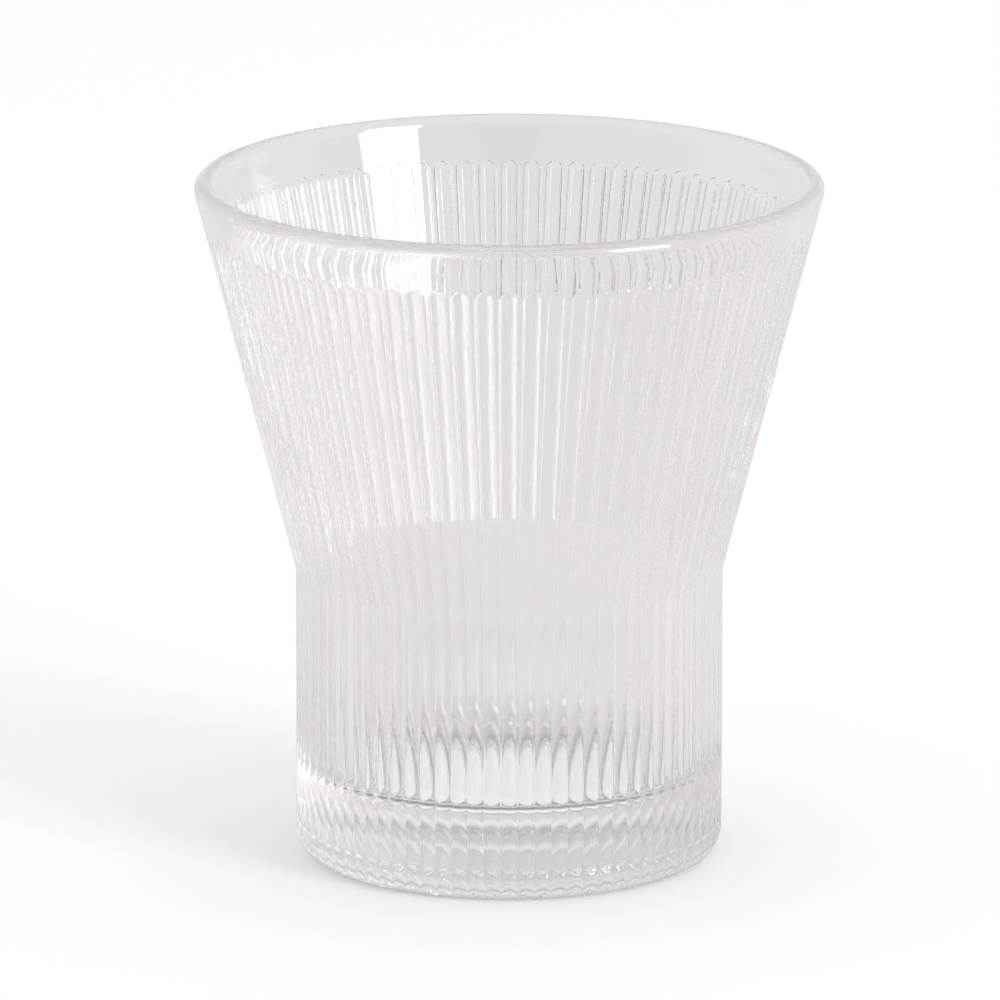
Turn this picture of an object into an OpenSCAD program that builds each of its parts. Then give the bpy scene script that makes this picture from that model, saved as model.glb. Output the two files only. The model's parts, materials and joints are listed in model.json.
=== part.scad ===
// Ribbed tea glass: one piece of clear pressed glass with a flared bowl,
// a straight lower body, a thick solid base and eighty sunk ribs outside.
// The glass stands on its bearing ring at z = 0, and its axis is Z.

/* [Bowl] */
// Height from the bearing ring to the top of the lip
glass_height = 94.6; // [85:0.1:105]
// Outside diameter of the lip
rim_d = 86; // [80:0.5:92]
// Thickness of the rounded lip
lip_thickness = 2.8; // [2.2:0.1:3.4]
// Wall thickness just above the waist
bowl_wall = 2.9; // [2.4:0.1:3.6]

/* [Lower body] */
// Outside diameter of the straight lower body
body_d = 58.7; // [56:0.1:62]
// Height of the waist, where the wall turns outwards
waist_height = 40.1; // [34:0.1:46]
// Radius that softens the waist inside
waist_round = 12; // [6:1:20]
// Wall thickness of the lower body
body_wall = 2.9; // [2.4:0.1:3.6]

/* [Base] */
// Thickness of the solid base at its middle
base_thickness = 11.5; // [7:0.5:13]
// Radius between the inside floor and the wall
floor_round = 3.5; // [2:0.5:6]
// Height of the smooth band at the bearing ring
foot_band = 0.8; // [0.5:0.1:1.5]
// Radius of the heel above the foot band
heel_round = 2.7; // [1.4:0.1:3.2]
// Width of the flat bearing ring
ring_width = 3.2; // [2:0.1:5]
// Depth of the recess inside the bearing ring
recess_depth = 0.7; // [0.4:0.1:1.2]

/* [Ribs] */
// Number of ribs around the glass
rib_count = 80; // [72:1:80]
// Width of the slot in the bowl that holds one rib and its side grooves
rib_width = 2.2; // [1.6:0.05:2.2]
// Radius of the rounded face of a rib
rib_round = 1.6; // [1.3:0.1:2.4]
// Smooth band from the top of the lip to the rounded rib tops
lip_band = 6.5; // [5:0.1:12]

/* [Hidden] */
$fn = 96;
overrun = 1;
// depth of a rib's crest under the smooth glass beside it
crest_sink = 0.04;
// how far the slots for the ribs reach under the smooth glass
slot_depth = 0.7;
// height of the round edge at the bottom of the foot band
foot_edge = 0.25;
// how far the two runs of a rib go past the waist into each other
waist_lap = 0.6;
// how much rounder the slot ends are than the slots are wide
end_bulge = 1.02;
// least strip of smooth glass between two slots, at the waist
least_land = 0.2;
// how far the upper rib's run past the waist wraps around the bar of the body
wrap = 0.01;

rim_r = rim_d / 2;
body_r = body_d / 2;
lip_r = lip_thickness / 2;
// centre of the round lip in the section
lip_x = rim_r - lip_r;
lip_z = glass_height - lip_r;

// lean of the outer bowl wall, which touches the lip circle
bowl_run = lip_x - body_r;
bowl_rise = lip_z - waist_height;
bowl_chord = sqrt(pow(bowl_run, 2) + pow(bowl_rise, 2));
lean = atan2(bowl_run, bowl_rise) + asin(lip_r / bowl_chord);
lip_touch_x = lip_x + lip_r * cos(lean);
lip_touch_z = lip_z - lip_r * sin(lean);

// inside of the glass
cavity_r = body_r - body_wall;
floor_z = base_thickness;
inner_waist_z = waist_height + (bowl_wall - bowl_wall * cos(lean)) / sin(lean);
inner_run = lip_x - cavity_r;
inner_rise = lip_z - inner_waist_z;
inner_chord = sqrt(pow(inner_run, 2) + pow(inner_rise, 2));
inner_lean = atan2(inner_run, inner_rise) - asin(lip_r / inner_chord);
inner_touch_x = lip_x - lip_r * cos(inner_lean);
inner_touch_z = lip_z + lip_r * sin(inner_lean);
waist_tangent = waist_round * tan(inner_lean / 2);
relief_z = inner_waist_z - waist_tangent;

// underside
foot_r = body_r - heel_round;
ring_in_r = foot_r - foot_edge - ring_width;

// ribs
rib_step = 360 / rib_count;
rib_top_z = glass_height - lip_band;
rib_slope_len = (rib_top_z - waist_height) / cos(lean);
rib_pitch = PI * body_d / rib_count;
slot_width = min(rib_width, rib_pitch - least_land);
slot_half = slot_width / 2;
rib_bottom_z = foot_band + heel_round;
bar_x = body_r - crest_sink - rib_round;

// section of the glass from its axis to the smooth outside, lip included
module outer_section() {
    polygon([
        [0, 0],
        [foot_r - foot_edge, 0],
        [foot_r, foot_edge],
        [foot_r, foot_band],
        [body_r, rib_bottom_z],
        [body_r, waist_height],
        [lip_touch_x, lip_touch_z],
        [lip_x, lip_z],
        [inner_touch_x, inner_touch_z],
        [0, inner_touch_z]
    ]);
    translate([foot_r, rib_bottom_z]) intersection() {
        circle(heel_round);
        translate([0, -heel_round]) square(heel_round);
    }
    translate([lip_x, lip_z]) circle(lip_r);
}

// section of the space inside the glass, open at the top, with the glass that
// rounds the inner waist left outside it
module cavity_section() {
    difference() {
        polygon([
            [0, floor_z],
            [cavity_r, floor_z],
            [cavity_r, relief_z],
            [
                cavity_r + waist_tangent * sin(inner_lean),
                inner_waist_z + waist_tangent * cos(inner_lean)
            ],
            [inner_touch_x, inner_touch_z],
            [inner_touch_x, glass_height + overrun],
            [0, glass_height + overrun]
        ]);
        floor_corner();
        translate([cavity_r + waist_round, relief_z]) circle(waist_round);
    }
}

// glass left in the corner between the floor and the wall
module floor_corner() {
    translate([cavity_r - floor_round, floor_z]) difference() {
        square(floor_round);
        translate([0, floor_round]) circle(floor_round);
    }
}

// round bars that stand in a ring, one for each rib of the lower body, and
// the round core that they are joined to, with their tops inside the bowl
module ribbed_column() {
    linear_extrude(waist_height + waist_lap) {
        circle(bar_x);
        for (i = [0:rib_count - 1]) rotate(i * rib_step) translate([bar_x, 0]) circle(rib_round);
    }
}

// place for the bowl's half of a rib at the +X side: its Z runs up the slope
module on_slope() {
    translate([body_r, 0, waist_height]) rotate([0, lean, 0]) children();
}

// slot in the smooth bowl for one rib, with a round upper end
module slot() {
    slot_len = rib_slope_len - slot_half;
    on_slope() translate([-slot_depth, 0, 0]) rotate([0, 90, 0])
        linear_extrude(slot_depth + overrun) {
            translate([-slot_len, -slot_half]) square([slot_len + waist_lap, slot_width]);
            translate([-slot_len, 0]) circle(slot_half * end_bulge);
        }
}

// one rib as a solid round bar: up the bowl to its domed end, and the top
// of its run on the lower body
module rib() {
    rib_len = rib_slope_len - slot_half;
    on_slope() translate([-crest_sink - rib_round, 0, -waist_lap]) {
        cylinder(h = rib_len + waist_lap, r = rib_round);
        translate([0, 0, rib_len + waist_lap]) sphere(rib_round);
    }
    translate([bar_x, 0, waist_height - 2 * waist_lap])
        cylinder(h = 3 * waist_lap, r = rib_round + wrap);
}

// glass missing beside and above one rib of the bowl
module rib_groove() {
    difference() {
        slot();
        rib();
    }
}

module tumbler() {
    color("whitesmoke") difference() {
        intersection() {
            rotate_extrude() outer_section();
            union() {
                ribbed_column();
                cylinder(h = foot_band, r = body_r);
                translate([0, 0, waist_height]) cylinder(h = glass_height, r = rim_d);
            }
        }
        rotate_extrude() cavity_section();
        translate([0, 0, -overrun]) cylinder(h = recess_depth + overrun, r = ring_in_r);
        for (i = [0:rib_count - 1]) rotate([0, 0, i * rib_step]) rib_groove();
    }
}

tumbler();
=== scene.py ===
import bpy
import json
import math
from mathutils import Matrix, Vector, noise

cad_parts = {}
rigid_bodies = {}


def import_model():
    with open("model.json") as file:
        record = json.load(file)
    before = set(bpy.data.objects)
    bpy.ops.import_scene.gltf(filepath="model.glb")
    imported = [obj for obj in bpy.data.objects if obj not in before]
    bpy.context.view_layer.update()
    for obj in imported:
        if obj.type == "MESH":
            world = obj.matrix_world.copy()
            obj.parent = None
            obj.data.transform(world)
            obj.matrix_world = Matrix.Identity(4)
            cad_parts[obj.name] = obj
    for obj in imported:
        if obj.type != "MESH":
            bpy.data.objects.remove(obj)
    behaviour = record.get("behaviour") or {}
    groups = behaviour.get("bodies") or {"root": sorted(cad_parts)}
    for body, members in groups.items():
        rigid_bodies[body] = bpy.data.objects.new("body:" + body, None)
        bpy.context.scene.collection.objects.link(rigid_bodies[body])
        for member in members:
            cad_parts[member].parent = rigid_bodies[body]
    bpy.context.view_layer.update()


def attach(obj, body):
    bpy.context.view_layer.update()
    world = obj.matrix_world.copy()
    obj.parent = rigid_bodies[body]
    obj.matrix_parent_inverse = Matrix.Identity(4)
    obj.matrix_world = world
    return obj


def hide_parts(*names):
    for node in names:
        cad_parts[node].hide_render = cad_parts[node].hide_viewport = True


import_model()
mm = 0.001
white = (1.0, 1.0, 1.0, 1.0)


def deselectAll():
    for thing in bpy.context.scene.objects:
        thing.select_set(False)


def pick(piece):
    deselectAll()
    piece.select_set(True)
    bpy.context.view_layer.objects.active = piece


class Wire:
    # one output of a node; sums, differences and products of wires add Math nodes
    def __init__(self, paint, socket):
        self.paint = paint
        self.socket = socket

    def math(self, operation, first, second):
        return self.paint.node("ShaderNodeMath", {"operation": operation}, {0: first, 1: second})

    def __add__(self, other):
        return self.math("ADD", self, other)

    def __radd__(self, other):
        return self.math("ADD", other, self)

    def __sub__(self, other):
        return self.math("SUBTRACT", self, other)

    def __rsub__(self, other):
        return self.math("SUBTRACT", other, self)

    def __mul__(self, other):
        return self.math("MULTIPLY", self, other)

    def __rmul__(self, other):
        return self.math("MULTIPLY", other, self)

    def larger(self, other):
        return self.math("MAXIMUM", self, other)

    def smaller(self, other):
        return self.math("MINIMUM", self, other)


class Paint:
    # a node tree that is filled one node at a time
    def __init__(self, tree):
        self.tree = tree
        tree.nodes.clear()

    def node(self, kind, settings=None, inputs=None, output=0):
        new = self.tree.nodes.new(kind)
        for name, value in (settings or {}).items():
            setattr(new, name, value)
        for name, value in (inputs or {}).items():
            if isinstance(value, Wire):
                self.tree.links.new(value.socket, new.inputs[name])
            else:
                new.inputs[name].default_value = value
        return Wire(self, new.outputs[output]) if new.outputs else None


def newMaterial(name):
    material = bpy.data.materials.new(name)
    material.use_nodes = True
    return material, Paint(material.node_tree)


def mixColours(paint, share, first, second):
    # a Mix node's colour sockets share their names with others, so they go by number
    return paint.node("ShaderNodeMix", {"data_type": "RGBA"}, {0: share, 6: first, 7: second}, output=2)


def smoothRise(paint, value, edge, most):
    # 0 up to the first edge, and from there a smooth rise to the most at the second
    return paint.node("ShaderNodeMapRange", {"interpolation_type": "SMOOTHSTEP", "clamp": True}, {
        "Value": value, "From Min": edge[0], "From Max": edge[1], "To Min": 0.0, "To Max": most})


def raysSeen(paint):
    # the camera's own rays, and those that gloss and glass send on
    direct = paint.node("ShaderNodeLightPath", output="Is Camera Ray")
    glossy = paint.node("ShaderNodeLightPath", output="Is Glossy Ray")
    through = paint.node("ShaderNodeLightPath", output="Is Transmission Ray")
    return direct, glossy.larger(through)


tumblerSizes = {           # lengths in millimetres
    "height": 94.6,
    "rimRadius": 43.0,
    "lipRadius": 1.4,      # of the lip's round section
    "bodyRadius": 29.35,
    "footRadius": 26.6,
    "heelHeight": 3.9,
    "heelTurn": 0.93,      # share of a quarter circle that the heel turns through
    "footEdge": 0.3,       # width of the soft edge around the bearing ring
    "edgeBend": (0.3, 0.15),   # that edge's middle corner, inwards and up, in shares of its width
    "waistHeight": 40.1,
    "waistBlend": 5.0,     # radius that softens the waist outside
    "innerBlend": 12.0,    # the same inside
    "wall": 2.9,
    "floorHeight": 11.5,
    "floorRound": 3.5,
    "ringWidth": 3.2,
    "recess": 0.7,
    "recessSlope": 1.0,    # how far the recess narrows on its way up
    "ribCount": 80,
    "ribRound": 1.25,      # radius of a rib's face on the lower body
    "bowlRound": 1.6,      # the same on the bowl
    "ribHalf": 1.05,       # half the width of that face
    "ribQuirk": 0.1,       # width of the step back up to the smooth glass
    "landBelow": 1.0,      # how far below the waist smooth glass begins to show between ribs
    "landRise": 4.0,       # height over which it comes up
    "ribTop": 86.86,       # height of the centre of a rib's domed upper end
    "ribFoot": 5.0,        # the same at its lower end
    "traceDepth": 1.0,     # share of their depth that the grooves keep under the ribs' feet
    "traceRun": 4.2,       # how far they run on there before they are gone
    "waveDepth": 0.022,    # height of the faint waves that pressing leaves on the inside wall
    "waveLength": 3.2,     # their length around the glass
    "waveStretch": 0.12,   # how much slower they change up the wall than around it
    "insideFrom": 1.6,     # corners this far under the smooth outside are on the inside wall
    "lipKeep": 1.5,        # the waves stop this far under the top of the lip
    # the mesh: columns of corners from a rib's middle line, and rows along each stretch
    "columns": [0.0, 0.3, 0.58, 0.82, 0.96, 1.05, 1.1, 1.15],
    "rows": {
        "heel": 9, "ribFoot": 9, "body": 3, "waist": 5, "bowl": 6, "ribTop": 9, "band": 2, "lip": 12,
        "inBowl": 4, "inWaist": 8, "inBody": 3, "inCorner": 8, "inFloor": 5,
        "ring": 3, "recessWall": 5, "roofRim": 3, "roof": 4,
    },
    "firmHalf": 0.6,       # where ribs crowd, only the columns past here close up
    "fullHalf": 1.16,      # half a pitch at which none has to
    "insideColumns": 4,    # columns per rib on the inside
    "underColumns": 8,     # and on the underside
    "footFine": 0.6,       # fine rows reach this far above the ribs' lower ends
    "topFine": (0.15, 1.3),   # and from this far below to this far above the domes' centres
    "roofFine": 3.0,       # and this far in along the recess's roof
    "lipGap": 0.6,         # space between the outside and the inside, bridged later
    "footGap": 0.3,        # the same between the outside and the underside
    "near": 0.02,          # a corner this close to a row belongs to it
    "mergeWithin": 0.004,
}


def pathBetween(start, end, count):
    return [(start[0] + (end[0] - start[0]) * i / count, start[1] + (end[1] - start[1]) * i / count)
            for i in range(count)]


def arcPoints(centre, radius, first, last, count, tall=None):
    # tall is the upright radius where it isn't the same
    tall = tall or radius
    return [(centre[0] + radius * math.cos(first + (last - first) * i / count),
             centre[1] + tall * math.sin(first + (last - first) * i / count)) for i in range(count)]


def glassSection(s):
    # the outside from the foot over the lip, the inside from there to the axis, the underside
    # from the foot to the axis, and how far the bowl leans
    rows = s["rows"]
    lipR, bodyX, waistZ, heelTop = s["lipRadius"], s["bodyRadius"], s["waistHeight"], s["heelHeight"]
    lipX, lipZ = s["rimRadius"] - lipR, s["height"] - lipR
    run, rise = lipX - bodyX, lipZ - waistZ
    lean = math.atan2(run, rise) + math.asin(lipR / math.hypot(run, rise))
    alongX, alongZ = math.sin(lean), math.cos(lean)

    def onSlope(distance):
        return (bodyX + alongX * distance, waistZ + alongZ * distance)

    # foot, heel and lower body
    footX = s["footRadius"] - s["footEdge"]
    edgeIn, edgeUp = s["edgeBend"]
    outer = [(footX, 0.0), (s["footRadius"] - s["footEdge"] * edgeIn, s["footEdge"] * edgeUp)]
    outer += arcPoints((s["footRadius"], heelTop), bodyX - s["footRadius"],
                       -math.pi / 2 * s["heelTurn"], 0, rows["heel"], heelTop)
    fineTop = max(s["ribFoot"], heelTop) + s["footFine"]
    cut = s["waistBlend"] * math.tan(lean / 2)
    outer += pathBetween((bodyX, heelTop), (bodyX, fineTop), rows["ribFoot"])
    outer += pathBetween((bodyX, fineTop), (bodyX, waistZ - cut), rows["body"])
    # waist and bowl
    outer += arcPoints((bodyX + s["waistBlend"], waistZ - cut), s["waistBlend"],
                       math.pi, math.pi - lean, rows["waist"])
    domeAt = (s["ribTop"] - waistZ) / alongZ
    domeLow, domeHigh = onSlope(domeAt - s["topFine"][0]), onSlope(domeAt + s["topFine"][1])
    outer += pathBetween(onSlope(cut), domeLow, rows["bowl"])
    outer += pathBetween(domeLow, domeHigh, rows["ribTop"])
    outer += pathBetween(domeHigh, (lipX + lipR * alongZ, lipZ - lipR * alongX), rows["band"])
    # lip
    cavity = bodyX - s["wall"]
    inWaistZ = waistZ + s["wall"] * (1 - alongZ) / alongX
    inRun, inRise = lipX - cavity, lipZ - inWaistZ
    inLean = math.atan2(inRun, inRise) - math.asin(lipR / math.hypot(inRun, inRise))
    inX, inZ = math.sin(inLean), math.cos(inLean)
    lipEnd = (lipX - lipR * inZ, lipZ + lipR * inX)
    outer += arcPoints((lipX, lipZ), lipR, -lean, math.pi - inLean, rows["lip"])
    outer.append(lipEnd)
    # inside
    inCut = s["innerBlend"] * math.tan(inLean / 2)
    bendTop = (cavity + inX * inCut, inWaistZ + inZ * inCut)
    corner = (cavity - s["floorRound"], s["floorHeight"] + s["floorRound"])
    innerTop = (lipEnd[0] - inX * s["lipGap"], lipEnd[1] - inZ * s["lipGap"])
    inner = pathBetween(innerTop, bendTop, rows["inBowl"])
    inner += arcPoints((cavity + s["innerBlend"], inWaistZ - inCut), s["innerBlend"],
                       math.pi - inLean, math.pi, rows["inWaist"])
    inner += pathBetween((cavity, inWaistZ - inCut), (cavity, corner[1]), rows["inBody"])
    inner += arcPoints(corner, s["floorRound"], 0, -math.pi / 2, rows["inCorner"])
    floorRows = rows["inFloor"]
    inner += [(corner[0] * (1 - i / floorRows), s["floorHeight"]) for i in range(floorRows + 1)]
    # underside
    ringIn, roofZ = footX - s["ringWidth"], s["recess"]
    roofEdge = ringIn - s["recessSlope"]
    fineEdge = roofEdge - s["roofFine"]
    under = pathBetween((footX - s["footGap"], 0.0), (ringIn, 0.0), rows["ring"])
    under += pathBetween((ringIn, 0.0), (roofEdge, roofZ), rows["recessWall"])
    under += pathBetween((roofEdge, roofZ), (fineEdge, roofZ), rows["roofRim"])
    under += pathBetween((fineEdge, roofZ), (0.0, roofZ), rows["roof"])
    under.append((0.0, roofZ))
    return outer, inner, under, lean


def faceDrop(face, away):
    # how far a rib's face, of radius face, has dropped this far from its middle
    return face - math.sqrt(face * face - away * away)


def ribDepth(s, across, beyond, below, face, land):
    # how far the outside lies under the smooth glass: across from a rib's middle line, beyond
    # its ends, below its foot; land is how far the glass beside it comes back up, from 0 to 1
    away = math.hypot(across, beyond)
    half, quirk = s["ribHalf"], s["ribQuirk"]
    if away < half:
        return faceDrop(face, away)
    rise = 1.0
    if away < half + quirk:
        rise = 0.5 - 0.5 * math.cos(math.pi * (away - half) / quirk)
    if beyond > 0:
        land = 1.0
    depth = faceDrop(face, half) * (1 - rise * land)
    if below > 0:
        # the grooves run on under the ribs' feet and fade out towards the ring
        fade = max(0.0, 1 - below / s["traceRun"])
        depth = max(depth, faceDrop(face, min(across, half)) * s["traceDepth"] * fade)
    return depth


def sectionWire(points, name):
    # one corner of a plane, extruded along the section
    bpy.ops.mesh.primitive_plane_add(size=mm)
    piece = bpy.context.object
    piece.name = name
    bpy.ops.object.mode_set(mode="EDIT")
    bpy.ops.mesh.merge(type="CENTER")
    bpy.ops.transform.translate(value=(points[0][0] * mm, 0, points[0][1] * mm))
    for before, after in zip(points, points[1:]):
        bpy.ops.mesh.extrude_vertices_move(TRANSFORM_OT_translate={
            "value": ((after[0] - before[0]) * mm, 0, (after[1] - before[1]) * mm)})
    bpy.ops.object.mode_set(mode="OBJECT")
    return piece


def spinSector(piece, steps, angle):
    pick(piece)
    bpy.ops.object.mode_set(mode="EDIT")
    bpy.ops.mesh.select_all(action="SELECT")
    bpy.ops.mesh.spin(steps=steps, angle=angle, center=(0, 0, 0), axis=(0, 0, 1))
    bpy.ops.object.mode_set(mode="OBJECT")


def shapeRibs(piece, s, outer):
    # the plain sector's corners move into their rib columns and down into the glass
    step = 2 * math.pi / s["ribCount"]
    half = len(s["columns"])
    lengths = [0.0]
    for before, after in zip(outer, outer[1:]):
        lengths.append(lengths[-1] + math.dist(before, after))

    def lengthAt(z):
        for i in range(1, len(outer)):
            low, high = outer[i - 1][1], outer[i][1]
            if low <= z <= high and high > low:
                return lengths[i - 1] + (lengths[i] - lengths[i - 1]) * (z - low) / (high - low)
        return 0.0

    topLength, footLength = lengthAt(s["ribTop"]), lengthAt(s["ribFoot"])
    normals = []
    for i in range(len(outer)):
        before, after = outer[max(i - 1, 0)], outer[min(i + 1, len(outer) - 1)]
        size = math.dist(before, after)
        normals.append(((after[1] - before[1]) / size, -(after[0] - before[0]) / size))
    for vertex in piece.data.vertices:
        x, y, z = vertex.co / mm
        radius = math.hypot(x, y)
        row = min(range(len(outer)), key=lambda k: abs(outer[k][0] - radius) + abs(outer[k][1] - z))
        column = round(math.atan2(abs(y), x) / step * 2 * half) - half
        rowX, rowZ = outer[row]
        pitchHalf = rowX * step / 2
        if abs(column) == half:
            across = pitchHalf
        else:
            across = s["columns"][abs(column)]
            room = (pitchHalf - s["firmHalf"]) / (s["fullHalf"] - s["firmHalf"])
            if across > s["firmHalf"] and room < 1:
                across = s["firmHalf"] + (across - s["firmHalf"]) * room
        below = footLength - lengths[row]
        beyond = max(lengths[row] - topLength, below, 0.0)
        land = min(1.0, max(0.0, (rowZ - s["waistHeight"] + s["landBelow"]) / s["landRise"]))
        face = s["ribRound"] + (s["bowlRound"] - s["ribRound"]) * land
        depth = ribDepth(s, across, beyond, below, face, land)
        place = (-across if column < 0 else across) / rowX
        flat, high = rowX - normals[row][0] * depth, rowZ - normals[row][1] * depth
        # the sector is centred on the front, at -Y
        vertex.co = (flat * math.sin(place) * mm, -flat * math.cos(place) * mm, high * mm)


def centreSector(piece, step):
    # from beside the X axis to the front, as the ribs are
    for vertex in piece.data.vertices:
        x, y, z = vertex.co
        radius = math.hypot(x, y)
        turn = math.atan2(abs(y), x) - step / 2
        vertex.co = (radius * math.sin(turn), -radius * math.cos(turn), z)


def bridgeRows(piece, first, second, near):
    # selects the edges that lie along two points of the section, and joins them with faces
    bpy.ops.object.mode_set(mode="EDIT")
    bpy.ops.mesh.select_all(action="DESELECT")
    bpy.ops.mesh.select_mode(type="EDGE")
    bpy.ops.object.mode_set(mode="OBJECT")
    mesh = piece.data
    for edge in mesh.edges:
        ends = [mesh.vertices[k].co / mm for k in edge.vertices]
        for place in (first, second):
            if all(abs(math.hypot(end.x, end.y) - place[0]) < near and abs(end.z - place[1]) < near
                   for end in ends):
                edge.select = True
    bpy.ops.object.mode_set(mode="EDIT")
    bpy.ops.mesh.bridge_edge_loops()
    bpy.ops.object.mode_set(mode="OBJECT")


def copyAround(piece, count):
    bpy.ops.object.empty_add(location=(0, 0, 0))
    turner = bpy.context.object
    turner.rotation_euler = (0, 0, 2 * math.pi / count)
    pick(piece)
    bpy.context.view_layer.update()
    array = piece.modifiers.new("ribs", "ARRAY")
    array.use_relative_offset = False
    array.use_object_offset = True
    array.offset_object = turner
    array.count = count
    array.use_merge_vertices = False
    bpy.ops.object.modifier_apply(modifier=array.name)
    bpy.data.objects.remove(turner)


def waveInside(piece, s, slope):
    # the inside wall's corners move in and out a little, in uneven upright waves
    low, high = s["floorHeight"] + s["floorRound"], s["height"] - s["lipKeep"]
    for vertex in piece.data.vertices:
        x, y, z = vertex.co / mm
        radius = math.hypot(x, y)
        smooth = s["bodyRadius"] + max(0.0, z - s["waistHeight"]) * slope
        if smooth - radius < s["insideFrom"] or z < low or z > high:
            continue
        wave = noise.noise(Vector((x, y, z * s["waveStretch"])) / s["waveLength"])
        share = 1 + s["waveDepth"] * wave / radius
        vertex.co = (vertex.co.x * share, vertex.co.y * share, vertex.co.z)


def makeTumbler(s):
    # one rib's sector of the whole glass, closed and then copied around the axis
    outer, inner, under, lean = glassSection(s)
    step = 2 * math.pi / s["ribCount"]
    deselectAll()
    wall = sectionWire(outer, "tumbler_glass")
    spinSector(wall, 2 * len(s["columns"]), step)
    shapeRibs(wall, s, outer)
    parts = [wall]
    rest = [(inner, "inside", s["insideColumns"]), (under, "underside", s["underColumns"])]
    for points, name, columns in rest:
        deselectAll()
        part = sectionWire(points, name)
        spinSector(part, columns, step)
        centreSector(part, step)
        parts.append(part)
    pick(wall)
    for part in parts:
        part.select_set(True)
    bpy.ops.object.join()
    bridgeRows(wall, outer[-1], inner[0], s["near"])
    bridgeRows(wall, outer[0], under[0], s["near"])
    copyAround(wall, s["ribCount"])
    bpy.ops.object.mode_set(mode="EDIT")
    bpy.ops.mesh.select_all(action="SELECT")
    bpy.ops.mesh.remove_doubles(threshold=s["mergeWithin"] * mm)
    bpy.ops.mesh.normals_make_consistent(inside=False)
    bpy.ops.object.mode_set(mode="OBJECT")
    waveInside(wall, s, math.tan(lean))
    bpy.ops.object.shade_smooth()
    return wall


tumbler = makeTumbler(tumblerSizes)
print("tumbler made:", len(tumbler.data.vertices), "corners,", len(tumbler.data.polygons), "faces")

glassLook = {
    "tint": (0.985, 0.98, 0.98),
    "cloudTint": (0.978, 0.971, 0.971),   # tint of its faintly cloudier places
    "cloudScale": 60.0,                   # of these places, per metre
    "cloudDetail": 3.0,
    "refraction": 1.52,
    "roughness": 0.0,
    "bodyColour": (0.80, 0.74, 0.74),     # colour that thick glass tends to
    "bodyDensity": 3.0,                   # per metre
}


def glassMaterial(look):
    material, paint = newMaterial("pressed_glass")
    place = paint.node("ShaderNodeTexCoord", output="Object")
    cloud = paint.node("ShaderNodeTexNoise", {"noise_dimensions": "3D"}, {
        "Vector": place, "Scale": look["cloudScale"], "Detail": look["cloudDetail"]})
    shade = paint.node("ShaderNodeBsdfPrincipled", {}, {
        "Base Color": mixColours(paint, cloud, (*look["tint"], 1.0), (*look["cloudTint"], 1.0)),
        "Roughness": look["roughness"],
        "IOR": look["refraction"],
        "Transmission Weight": 1.0,
    })
    thick = paint.node("ShaderNodeVolumeAbsorption", {}, {
        "Color": (*look["bodyColour"], 1.0), "Density": look["bodyDensity"]})
    paint.node("ShaderNodeOutputMaterial", {}, {"Surface": shade, "Volume": thick})
    return material


tumbler.data.materials.clear()
tumbler.data.materials.append(glassMaterial(glassLook))
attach(tumbler, "root")
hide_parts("tumbler")
print("glass set")

floorLook = {
    "radius": 6.0,                     # metres
    "drop": 0.0001,                    # it lies this far under the glass, so that no faces coincide
    "sides": 96,
    "colour": (0.83, 0.815, 0.815),
    "roughness": 0.95,
    "specular": 0.1,
    "fibreScale": 900.0,               # of the paper's fibres, per metre
    "fibreDetail": 2.0,
    "fibreBump": 0.05,
    "fibreHeight": 0.0002,
    "lift": 0.23,                      # what brings the floor up to white for the camera
    "paintedUnderGlow": 0.62,                 # painted pool of light on the floor under the base, seen only through or off the glass, standing in for the light the glass gathers there
    "paintedGlowEdge": (0.026, 0.020),        # radii between which that painted glow comes up, in metres
}


def makeFloor(look):
    deselectAll()
    bpy.ops.mesh.primitive_circle_add(vertices=look["sides"], radius=look["radius"], fill_type="NGON",
                                      location=(0, 0, -look["drop"]))
    floor = bpy.context.object
    floor.name = "floor"
    bpy.ops.object.transform_apply(location=True, rotation=True, scale=True)
    material, paint = newMaterial("paper_floor")
    place = paint.node("ShaderNodeTexCoord", output="Object")
    fibre = paint.node("ShaderNodeTexNoise", {}, {
        "Vector": place, "Scale": look["fibreScale"], "Detail": look["fibreDetail"]})
    bump = paint.node("ShaderNodeBump", {}, {
        "Strength": look["fibreBump"], "Distance": look["fibreHeight"], "Height": fibre})
    matt = paint.node("ShaderNodeBsdfPrincipled", {}, {
        "Base Color": (*look["colour"], 1.0),
        "Roughness": look["roughness"],
        "Specular IOR Level": look["specular"],
        "Normal": bump,
    })
    direct, mirrored = raysSeen(paint)
    away = paint.node("ShaderNodeVectorMath", {"operation": "LENGTH"}, {0: place}, output="Value")
    # painted light: a glow on the floor under the base that only rays through or off the glass see,
    # added to the camera's lift
    under = smoothRise(paint, away, look["paintedGlowEdge"], look["paintedUnderGlow"])
    lift = paint.node("ShaderNodeEmission", {}, {
        "Color": white, "Strength": direct * look["lift"] + mirrored * under})
    both = paint.node("ShaderNodeAddShader", {}, {0: matt, 1: lift})
    paint.node("ShaderNodeOutputMaterial", {}, {"Surface": both})
    floor.data.materials.append(material)


roomLook = {
    "colour": (0.87, 0.855, 0.855),
    "glassShare": 0.15,          # share of the backdrop's lift to white that the glass shows
    # dark parts of the room that only the glass shows: how dark each is, and where it comes
    # in, from -1 on the far side or below to 1 on the viewer's side or above
    "ceilingShade": 0.3,
    "ceilingEdge": (0.0, 0.35),
    "roomShade": 0.5,            # on the viewer's side
    "roomEdge": (-0.05, 0.45),
    "viewerShade": 0.97,         # right behind the viewer
    "viewerEdge": (0.90, 0.96),
}


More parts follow.
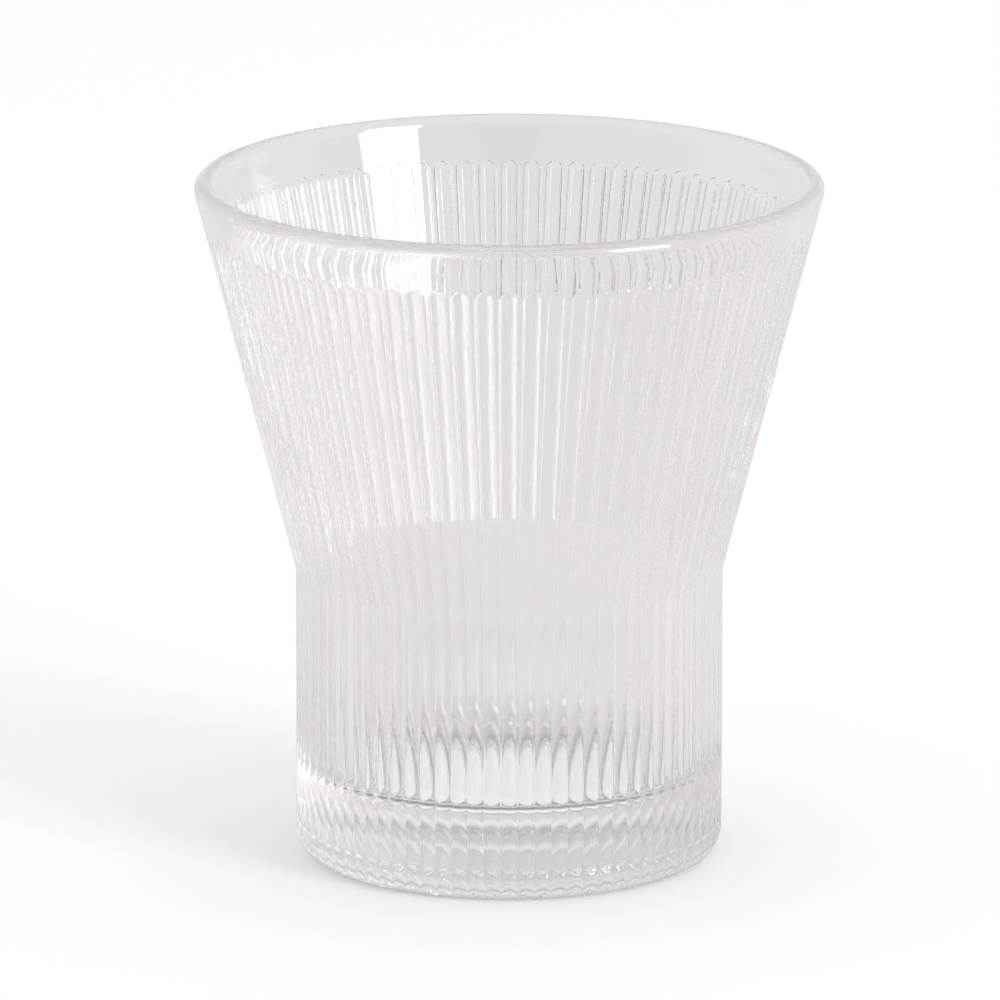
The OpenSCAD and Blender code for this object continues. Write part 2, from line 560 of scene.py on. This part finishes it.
def makeWorld(look):
    world = bpy.data.worlds.new("studio_world")
    bpy.context.scene.world = world
    world.use_nodes = True
    paint = Paint(world.node_tree)
    direct, mirrored = raysSeen(paint)
    lighting = paint.node("ShaderNodeLightPath", output="Diffuse Depth").smaller(1.0)
    way = paint.node("ShaderNodeTexCoord", output="Generated")
    ahead = paint.node("ShaderNodeSeparateXYZ", {}, {"Vector": way}, output="Y")
    high = paint.node("ShaderNodeSeparateXYZ", {}, {"Vector": way}, output="Z")
    back = 0.0 - ahead
    shade = smoothRise(paint, back, look["roomEdge"], look["roomShade"])
    shade = shade.larger(smoothRise(paint, high, look["ceilingEdge"], look["ceilingShade"]))
    shade = shade.larger(smoothRise(paint, back, look["viewerEdge"], look["viewerShade"]))
    # light that has met the floor comes from an even room
    strength = 1.0 - mirrored * shade * (1.0 - lighting)
    seen = direct.larger(mirrored * look["glassShare"])
    colour = mixColours(paint, seen, (*look["colour"], 1.0), white)
    glow = paint.node("ShaderNodeBackground", {}, {"Color": colour, "Strength": strength})
    paint.node("ShaderNodeOutputWorld", {}, {"Surface": glow})


keyLamp = {
    "direction": (0.721, -0.636, 0.28),   # from the glass
    "distance": 2.4,                      # metres, as are the next two
    "width": 0.95,
    "height": 1.4,
    "watts": 29.0,
    "aim": (0, 0, 0.05),
}


def makeLamp(name, values):
    data = bpy.data.lights.new(name, "AREA")
    data.shape = "RECTANGLE"
    data.size = values["width"]
    data.size_y = values["height"]
    data.energy = values["watts"]
    lamp = bpy.data.objects.new(name, data)
    bpy.context.collection.objects.link(lamp)
    way = Vector(values["direction"]).normalized()
    lamp.location = Vector(values["aim"]) + way * values["distance"]
    lamp.rotation_euler = (-way).to_track_quat("-Z", "Y").to_euler()


makeFloor(floorLook)
makeWorld(roomLook)
makeLamp("key_lamp", keyLamp)
print("studio made")

cameraPlace = {
    "lens": 432.0,
    "sensor": 36.0,
    "distance": 1.6475,                 # metres
    "elevation": 13.972,                # degrees
    "aim": (-0.001264, 0.0, 0.04932),
    "clip": (0.05, 50.0),
}


def makeCamera(values):
    data = bpy.data.cameras.new("camera")
    data.lens = values["lens"]
    data.sensor_width = values["sensor"]
    data.clip_start, data.clip_end = values["clip"]
    camera = bpy.data.objects.new("camera", data)
    bpy.context.collection.objects.link(camera)
    rise = math.radians(values["elevation"])
    away = Vector((0, -math.cos(rise), math.sin(rise))) * values["distance"]
    camera.location = Vector(values["aim"]) + away
    camera.rotation_euler = (math.pi / 2 - rise, 0, 0)
    bpy.context.scene.camera = camera


makeCamera(cameraPlace)
glassBounces = 128   # light turns back and forth many times between the ribs and the lip
diffuseBounces = 4
scene = bpy.context.scene
scene.view_settings.view_transform = "Standard"
scene.cycles.max_bounces = glassBounces
scene.cycles.transmission_bounces = glassBounces
scene.cycles.glossy_bounces = glassBounces
scene.cycles.diffuse_bounces = diffuseBounces
print("camera set")
